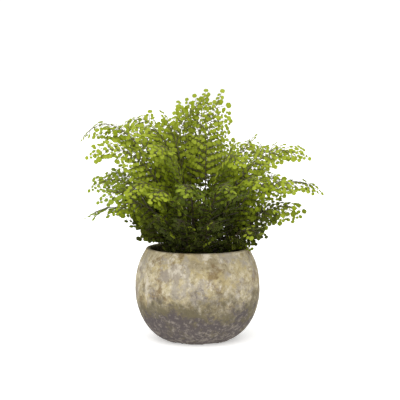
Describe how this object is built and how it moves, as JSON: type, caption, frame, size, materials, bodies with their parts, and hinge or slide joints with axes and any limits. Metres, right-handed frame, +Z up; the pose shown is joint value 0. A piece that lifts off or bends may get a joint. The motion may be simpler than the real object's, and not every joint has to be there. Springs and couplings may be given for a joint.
{
  "type": "potted fern",
  "caption": "Maidenhair fern with arching fronds of small fan-shaped leaflets, growing in a squat round-bellied earthenware pot filled with soil.",
  "frame": {"origin": "middle of the pot's flat foot, on the surface that the pot stands on", "axes": "+Z up along the pot's axis; -Y is the front of the plant; +X is its right side seen from the front"},
  "size_m": [0.2901, 0.2354, 0.3009],
  "materials": {
    "pot": "matte",
    "soil": "matte",
    "frond": "satin"
  },
  "bodies": {
    "root": {"pot": "pot", "soil": "soil", "frond_01_upright": "frond", "frond_02_curling": "frond", "frond_03_upright": "frond", "frond_04_upright": "frond", "frond_05_upright": "frond", "frond_06_upright": "frond", "frond_07_upright": "frond", "frond_08_arching": "frond", "frond_09_high": "frond", "frond_10_high": "frond", "frond_11_high": "frond", "frond_12_high": "frond", "frond_13_high": "frond", "frond_14_high": "frond", "frond_15_high": "frond", "frond_16_high": "frond", "frond_17_high": "frond", "frond_18_straight": "frond", "frond_19_high": "frond", "frond_20_high": "frond", "frond_21_middle": "frond", "frond_22_middle": "frond", "frond_23_middle": "frond", "frond_24_middle": "frond", "frond_25_middle": "frond", "frond_26_middle": "frond", "frond_27_middle": "frond", "frond_28_middle": "frond", "frond_29_middle": "frond", "frond_30_middle": "frond", "frond_31_middle": "frond", "frond_32_middle": "frond", "frond_33_middle": "frond", "frond_34_middle": "frond", "frond_35_middle": "frond", "frond_36_middle": "frond", "frond_37_low": "frond", "frond_38_low": "frond", "frond_39_low": "frond", "frond_40_low": "frond", "frond_41_low": "frond", "frond_42_low": "frond", "frond_43_low": "frond", "frond_44_low": "frond", "frond_45_low": "frond", "frond_46_middle": "frond", "frond_47_rim": "frond", "frond_48_rim": "frond", "frond_49_rim": "frond", "frond_50_rim": "frond"}
  },
  "joints": []
}
